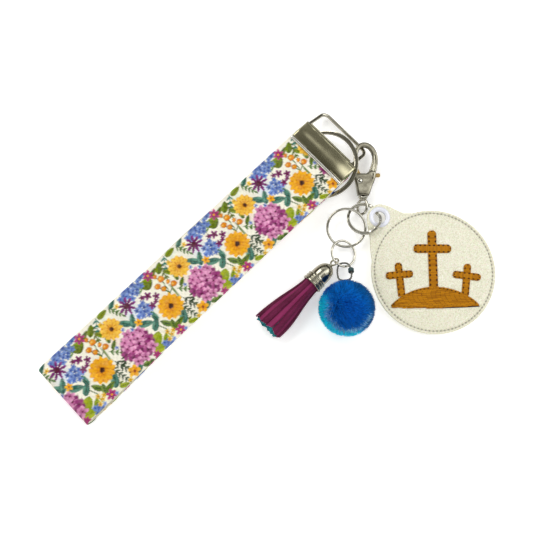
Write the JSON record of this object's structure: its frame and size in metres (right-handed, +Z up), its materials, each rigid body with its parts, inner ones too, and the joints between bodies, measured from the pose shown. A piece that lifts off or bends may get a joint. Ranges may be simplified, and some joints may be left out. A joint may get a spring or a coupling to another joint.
{
  "type": "wristlet keychain",
  "caption": "Wristlet keychain: folded webbing strap in a clamp with a hinged bail, rings, a swivel clasp, a round stitched charm, a tassel and a pompom.",
  "frame": {"origin": "bottom centre of the whole set lying flat on a table", "axes": "+X along the strap from its fold to the metal clamp, +Y across the strap away from the charm, +Z up from the table"},
  "size_m": [0.1844, 0.1189, 0.0258],
  "materials": {
    "webbing": "cream woven webbing",
    "print": "smooth printed cover with a floral pattern on cream",
    "satin_metal": "satin antique nickel",
    "nickel": "worn nickel plate",
    "gate_metal": "aged brass toned plate",
    "vinyl": "ivory glitter vinyl with a stitched edge",
    "enamel": "pale lilac enamel",
    "thread": "ochre satin stitch",
    "plum_suede": "plum suede strips",
    "teal_suede": "teal suede strips",
    "fur": "royal blue plush fur",
    "cord": "thin dark cord",
    "crimp": "dark crimp bead"
  },
  "bodies": {
    "strap": {"strap_webbing": "webbing", "strap_print_cover": "print", "fob_clamp": "satin_metal"},
    "bail": {"fob_bail": "nickel"},
    "large_ring": {"split_ring_large": "nickel"},
    "clasp": {"clasp_body": "nickel", "clasp_rivet": "nickel"},
    "gate": {"clasp_gate": "gate_metal"},
    "swivel": {"swivel_eye": "nickel"},
    "small_ring": {"split_ring_small": "nickel"},
    "charm": {"charm_front": "vinyl", "charm_back": "vinyl", "eyelet_front": "enamel", "eyelet_washer": "nickel", "embroidery_mound": "thread", "embroidery_cross_center": "thread", "embroidery_cross_left": "thread", "embroidery_cross_right": "thread"},
    "link_large": {"jump_ring_large": "nickel"},
    "link_small": {"jump_ring_small": "nickel"},
    "tassel": {"tassel_cap": "satin_metal", "tassel_fringe": "plum_suede", "tassel_fringe_inner": "teal_suede"},
    "pompom_ball": {"pompom": "fur", "pompom_cord": "cord", "cord_crimp": "crimp"}
  },
  "joints": [
    {"name": "bail_lift", "type": "hinge", "parent": "strap", "child": "bail", "pos_m": [0.06977, 0.0423, 0.008], "axis": [0, -1, 0], "range_deg": [0, 60]},
    {"name": "large_ring_slide", "type": "hinge", "parent": "bail", "child": "large_ring", "pos_m": [0.06357, 0.03855, 0.00449], "axis": [-0.1945, 0.1265, 0.9727], "continuous": true},
    {"name": "clasp_swing", "type": "hinge", "parent": "bail", "child": "clasp", "pos_m": [0.08197, 0.02965, 0.0035], "axis": [0, 0, 1], "range_deg": [-3, 4]},
    {"name": "gate_open", "type": "hinge", "parent": "clasp", "child": "gate", "pos_m": [0.06991, 0.02143, 0.00221], "axis": [0.0523, 0.0462, -0.9976], "range_deg": [0, 6], "stiffness_Nm_per_rad": 0.004, "springref_deg": -5.73},
    {"name": "swivel_spin", "type": "hinge", "parent": "clasp", "child": "swivel", "pos_m": [0.06637, 0.01537, 0.0029], "axis": [0.7475, 0.6606, 0.0698], "continuous": true},
    {"name": "small_ring_slide", "type": "hinge", "parent": "swivel", "child": "small_ring", "pos_m": [0.05877, 0.00735, 0.0041], "axis": [0.1469, 0.1299, 0.9806], "range_deg": [-4, 2]},
    {"name": "charm_swing", "type": "hinge", "parent": "small_ring", "child": "charm", "pos_m": [0.06411, 0.00298, 0.00402], "axis": [0, -0.0523, 0.9986], "range_deg": [-6, 10]},
    {"name": "link_large_slide", "type": "hinge", "parent": "small_ring", "child": "link_large", "pos_m": [0.04985, 0.00994, 0.0042], "axis": [-0.1201, -0.126, 0.9847], "range_deg": [-2, 6]},
    {"name": "link_small_slide", "type": "hinge", "parent": "link_large", "child": "link_small", "pos_m": [0.04067, 0.00253, 0.00313], "axis": [0.295, -0.2712, 0.9162], "range_deg": [-3, 6]},
    {"name": "tassel_swing", "type": "hinge", "parent": "link_small", "child": "tassel", "pos_m": [0.03467, 0.0024, 0.00502], "axis": [0, 0, 1], "range_deg": [-2, 3]},
    {"name": "pompom_swing", "type": "hinge", "parent": "link_small", "child": "pompom_ball", "pos_m": [0.03657, -0.00177, 0.00358], "axis": [0, 0, 1], "range_deg": [0, 12]}
  ]
}
